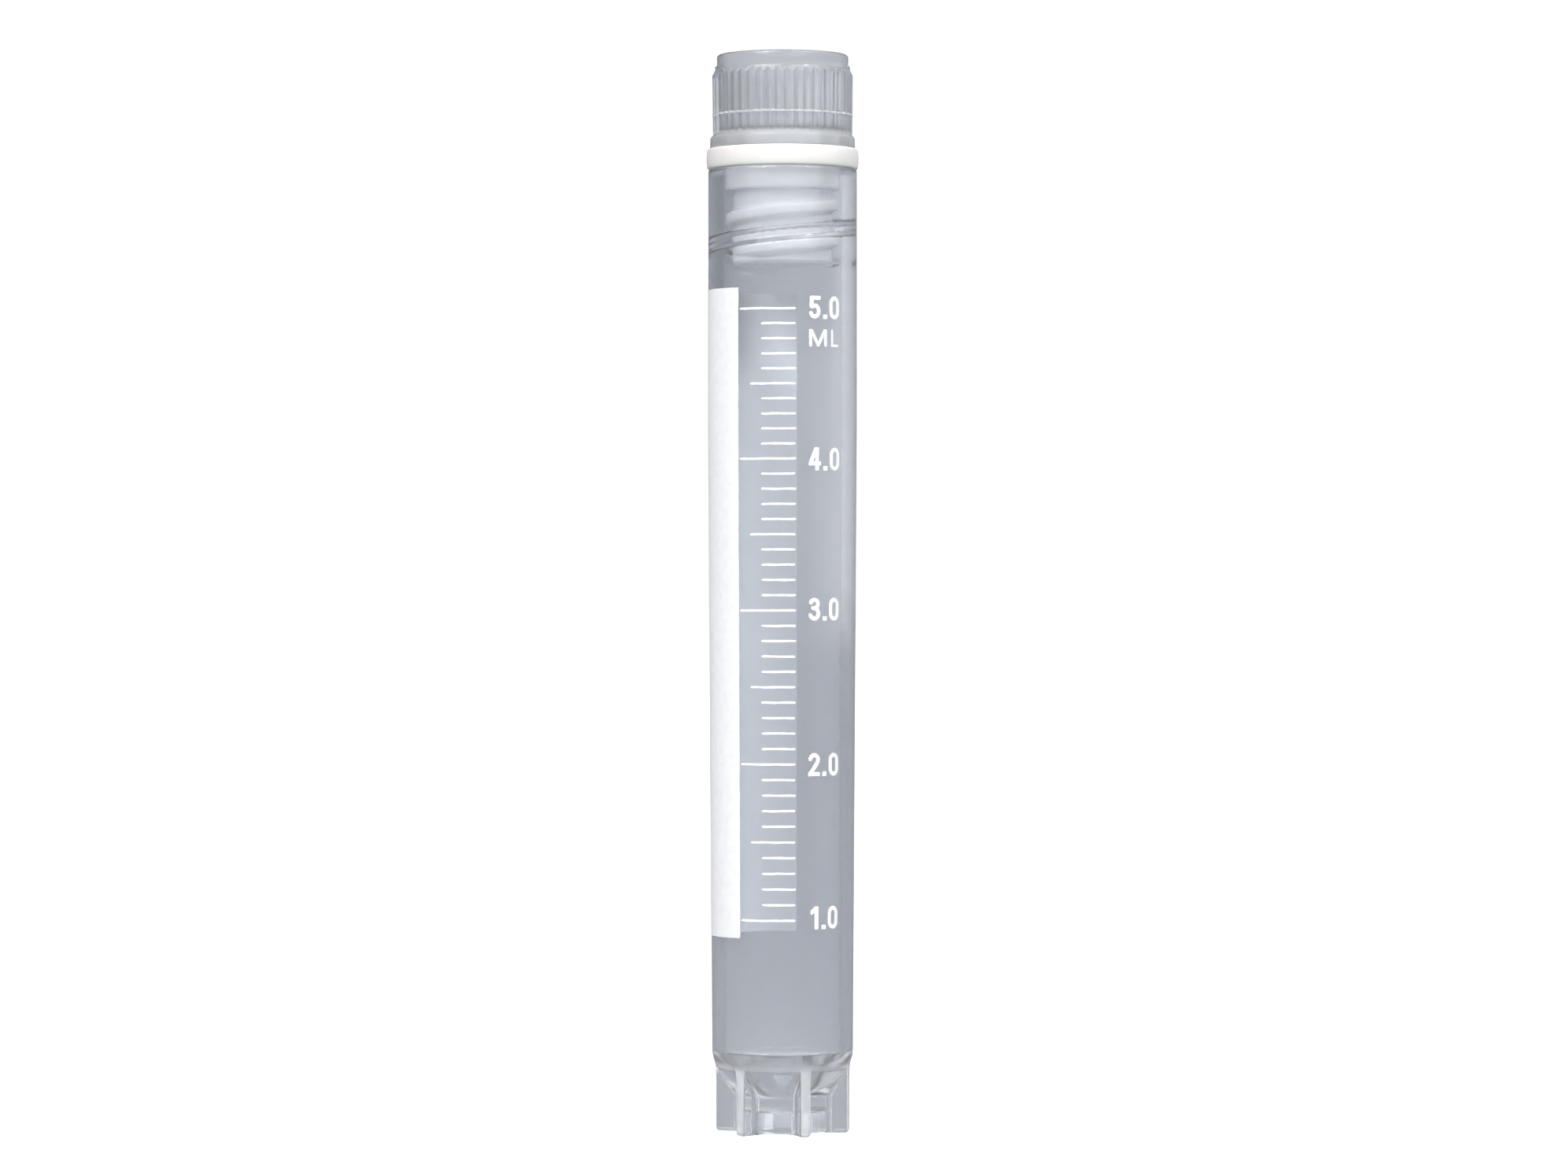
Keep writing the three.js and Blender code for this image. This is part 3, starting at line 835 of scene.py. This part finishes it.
def make_world():
    """White to the camera; to every other ray a soft room that is darker on the left (-X) and straight
    behind (+Y)."""
    world = bpy.data.worlds.new("studio")
    bpy.context.scene.world = world
    world.use_nodes = True
    tree = world.node_tree
    tree.nodes.clear()
    place = tree.nodes.new("ShaderNodeTexCoord")
    split = tree.nodes.new("ShaderNodeSeparateXYZ")
    ramp = tree.nodes.new("ShaderNodeValToRGB")
    stops = ramp.color_ramp.elements
    while len(stops) < len(ROOM):
        stops.new(0.5)
    for stop, (x, colour) in zip(stops, ROOM):
        stop.position = (x + 1) / 2
        stop.color = (*colour, 1)
    shift = tree.nodes.new("ShaderNodeMapRange")
    shift.inputs["From Min"].default_value = -1
    room = tree.nodes.new("ShaderNodeBackground")
    white = tree.nodes.new("ShaderNodeBackground")
    white.inputs["Color"].default_value = (1, 1, 1, 1)
    white.inputs["Strength"].default_value = WHITE_STRENGTH
    path = tree.nodes.new("ShaderNodeLightPath")
    mix = tree.nodes.new("ShaderNodeMixShader")
    out = tree.nodes.new("ShaderNodeOutputWorld")
    links = tree.links
    links.new(place.outputs["Generated"], split.inputs[0])
    links.new(split.outputs["X"], shift.inputs["Value"])
    wall = tree.nodes.new("ShaderNodeMapRange")
    wall.inputs["From Min"].default_value = WALL_EDGE
    wall.inputs["From Max"].default_value = WALL_CORE
    wall.inputs["To Min"].default_value = ROOM_GAIN
    wall.inputs["To Max"].default_value = 1
    links.new(split.outputs["Y"], wall.inputs["Value"])
    links.new(wall.outputs["Result"], room.inputs["Strength"])
    links.new(shift.outputs["Result"], ramp.inputs["Fac"])
    links.new(ramp.outputs["Color"], room.inputs["Color"])
    links.new(path.outputs["Is Camera Ray"], mix.inputs[0])
    links.new(room.outputs[0], mix.inputs[1])
    links.new(white.outputs[0], mix.inputs[2])
    links.new(mix.outputs[0], out.inputs["Surface"])


FLOOR_GLOW = (0.312, 0.326, 0.358, 1)
FLOOR_REACH = 6


def make_floor():
    """White to the camera. To light that bounces it is an even grey, so that the plastic shows no bright
    floor."""
    material, tree, shader = new_material("floor")
    shade = colour_between(tree, noise_field(tree, 3), (0.93, 0.93, 0.93), (0.95, 0.95, 0.95))
    tree.links.new(shade, shader.inputs["Base Color"])
    shader.inputs["Roughness"].default_value = 0.9
    shader.inputs["Specular IOR Level"].default_value = 0.1
    glow = tree.nodes.new("ShaderNodeEmission")
    glow.inputs["Color"].default_value = FLOOR_GLOW
    path = tree.nodes.new("ShaderNodeLightPath")
    mix = tree.nodes.new("ShaderNodeMixShader")
    tree.links.new(path.outputs["Is Camera Ray"], mix.inputs[0])
    tree.links.new(glow.outputs[0], mix.inputs[1])
    tree.links.new(shader.outputs[0], mix.inputs[2])
    tree.links.new(mix.outputs[0], tree.nodes["Material Output"].inputs["Surface"])
    mesh = bpy.data.meshes.new("floor")
    corners = [(x * FLOOR_REACH, y * FLOOR_REACH, 0) for x, y in ((-1, -1), (1, -1), (1, 1), (-1, 1))]
    mesh.from_pydata(corners, [], [(0, 1, 2, 3)])
    mesh.materials.append(material)
    floor = bpy.data.objects.new("floor", mesh)
    bpy.context.scene.collection.objects.link(floor)


CAMERA_DISTANCE = 0.46
CAMERA_HEIGHT = 0.04577
CAMERA_SIDE = 0.00012
PICTURE_WIDTH = 0.132  # at the object
SENSOR_WIDTH = 36


def make_camera():
    camera = bpy.data.cameras.new("camera")
    camera.sensor_width = SENSOR_WIDTH
    camera.lens = SENSOR_WIDTH * CAMERA_DISTANCE / PICTURE_WIDTH
    camera.clip_start = 0.01
    camera.clip_end = 20
    holder = bpy.data.objects.new("camera", camera)
    holder.location = (CAMERA_SIDE, -CAMERA_DISTANCE, CAMERA_HEIGHT)
    holder.rotation_euler = (math.pi / 2, 0, 0)
    bpy.context.scene.collection.objects.link(holder)
    bpy.context.scene.camera = holder


# ---------------------------------------------------------------- build

tube_plastic = polypropylene(
    "tube_polypropylene", pale=(0.95, 0.968, 0.995), deep=(0.935, 0.955, 0.985), clear=0.955, gloss=0.02,
    thick_below=RIB_TOP, thick_milk=0.02, frosted_foot=True,
)
cap_plastic = polypropylene(
    "cap_polypropylene", pale=(0.945, 0.962, 0.99), deep=(0.93, 0.95, 0.98), clear=0.865, gloss=0.022,
    thick_below=GRIP_FOOT, thick_milk=0.2, witness_line=True,
)
ink = white_ink()

make_tube(tube_plastic)
make_cap(cap_plastic)
make_washer(silicone())
make_panel(ink)
make_numerals(make_marks(ink), ink)

make_world()
make_floor()
make_camera()
for side, azimuth, elevation, box_strength, bulb_strength in LAMPS:
    soft_light(f"{side}_softbox", azimuth, elevation, SOFTBOX_WIDTH, box_strength)
    soft_light(f"{side}_bulb", azimuth, elevation, BULB_WIDTH, bulb_strength)
bpy.context.scene.view_settings.view_transform = "Standard"

# The view crosses many walls of clear plastic, and shorter paths would end inside them
LONGEST_PATH = 32
cycles = bpy.context.scene.cycles
cycles.max_bounces = LONGEST_PATH
cycles.transmission_bounces = LONGEST_PATH
cycles.sample_clamp_indirect = 5
